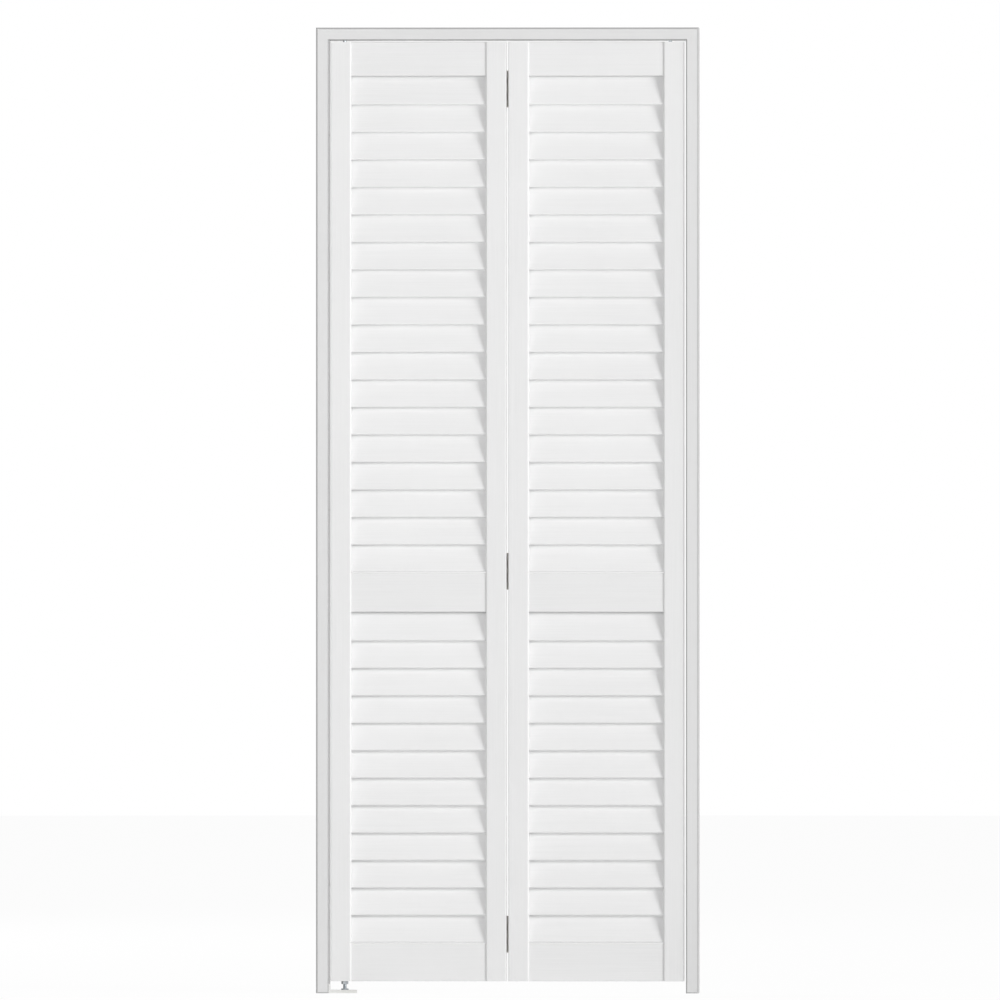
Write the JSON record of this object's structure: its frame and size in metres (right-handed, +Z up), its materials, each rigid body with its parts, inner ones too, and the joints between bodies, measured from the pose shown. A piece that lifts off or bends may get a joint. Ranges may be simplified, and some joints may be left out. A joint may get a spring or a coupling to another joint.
{
  "type": "bifold closet door",
  "caption": "Louvered folding closet door hinged down its middle, in a timber frame, with pivots, a sprung guide in an overhead track, and hinges between the leaves.",
  "frame": {"origin": "on the floor, half-way across the opening and half-way through the depth of the frame", "axes": "+Z up, +X to the right seen from the room, +Y from the front of the frame to its back, into the closet"},
  "size_m": [0.816, 0.116, 2.059],
  "materials": {
    "door_paint": "satin white paint on pine",
    "frame_paint": "satin pale grey paint on pine",
    "beech_dowel": "plain turned beech",
    "nickel_plate": "satin nickel plate",
    "zinc_steel": "bright zinc plate",
    "spring_steel": "drawn spring wire",
    "white_enamel": "white baked enamel",
    "nylon": "moulded natural nylon"
  },
  "bodies": {
    "frame": {"left_jamb": "frame_paint", "right_jamb": "frame_paint", "head_jamb": "frame_paint", "frame_screws": "zinc_steel", "top_track": "white_enamel", "track_screws": "zinc_steel", "top_pivot_bracket": "zinc_steel", "bracket_grub_screw": "zinc_steel", "bottom_pivot_bracket": "white_enamel", "bottom_bracket_screws": "zinc_steel", "bottom_pivot_pin": "zinc_steel", "height_nut": "zinc_steel"},
    "pivot_leaf": {"pivot_leaf_outer_stile": "door_paint", "pivot_leaf_inner_stile": "door_paint", "pivot_leaf_top_rail": "door_paint", "pivot_leaf_lock_rail": "door_paint", "pivot_leaf_bottom_rail": "door_paint", "pivot_leaf_upper_slats": "door_paint", "pivot_leaf_lower_slats": "door_paint", "pivot_leaf_dowels": "beech_dowel", "pivot_leaf_hinge_plates": "nickel_plate", "pivot_leaf_hinge_screws": "nickel_plate", "hinge_pins": "nickel_plate", "top_pivot_sleeve": "nylon", "bottom_pivot_sleeve": "nylon", "top_pivot_spring": "spring_steel"},
    "top_pivot_pin": {"top_pivot_pin": "zinc_steel"},
    "lead_leaf": {"lead_leaf_outer_stile": "door_paint", "lead_leaf_inner_stile": "door_paint", "lead_leaf_top_rail": "door_paint", "lead_leaf_lock_rail": "door_paint", "lead_leaf_bottom_rail": "door_paint", "lead_leaf_upper_slats": "door_paint", "lead_leaf_lower_slats": "door_paint", "lead_leaf_dowels": "beech_dowel", "lead_leaf_hinge_plates": "nickel_plate", "lead_leaf_hinge_screws": "nickel_plate", "guide_sleeve": "nylon", "guide_spring": "spring_steel"},
    "guide_pin": {"guide_pin": "zinc_steel"},
    "guide_wheel": {"guide_wheel": "nylon"}
  },
  "joints": [
    {"name": "pivot_leaf_fold", "type": "hinge", "parent": "frame", "child": "pivot_leaf", "pos_m": [-0.347, -0.0387, 0], "axis": [0, 0, -1], "range_deg": [0, 85]},
    {"name": "lead_leaf_fold", "type": "hinge", "parent": "pivot_leaf", "child": "lead_leaf", "pos_m": [0, -0.0206, 0], "axis": [0, 0, 1], "range_deg": [0, 170]},
    {"name": "top_pivot_press", "type": "slide", "parent": "pivot_leaf", "child": "top_pivot_pin", "axis": [0, 0, -1], "range_m": [0, 0.014], "stiffness_N_per_m": 600, "springref_m": -0.006, "deforming": ["top_pivot_spring"]},
    {"name": "guide_press", "type": "slide", "parent": "lead_leaf", "child": "guide_pin", "axis": [0, 0, -1], "range_m": [0, 0.0055], "stiffness_N_per_m": 600, "springref_m": -0.006, "deforming": ["guide_spring"]},
    {"name": "guide_wheel_spin", "type": "hinge", "parent": "guide_pin", "child": "guide_wheel", "pos_m": [0.347, -0.0387, 0], "axis": [0, 0, 1], "continuous": true}
  ],
  "couplings": [
    {"joint": "lead_leaf_fold", "follows": "pivot_leaf_fold", "ratio": 2}
  ]
}
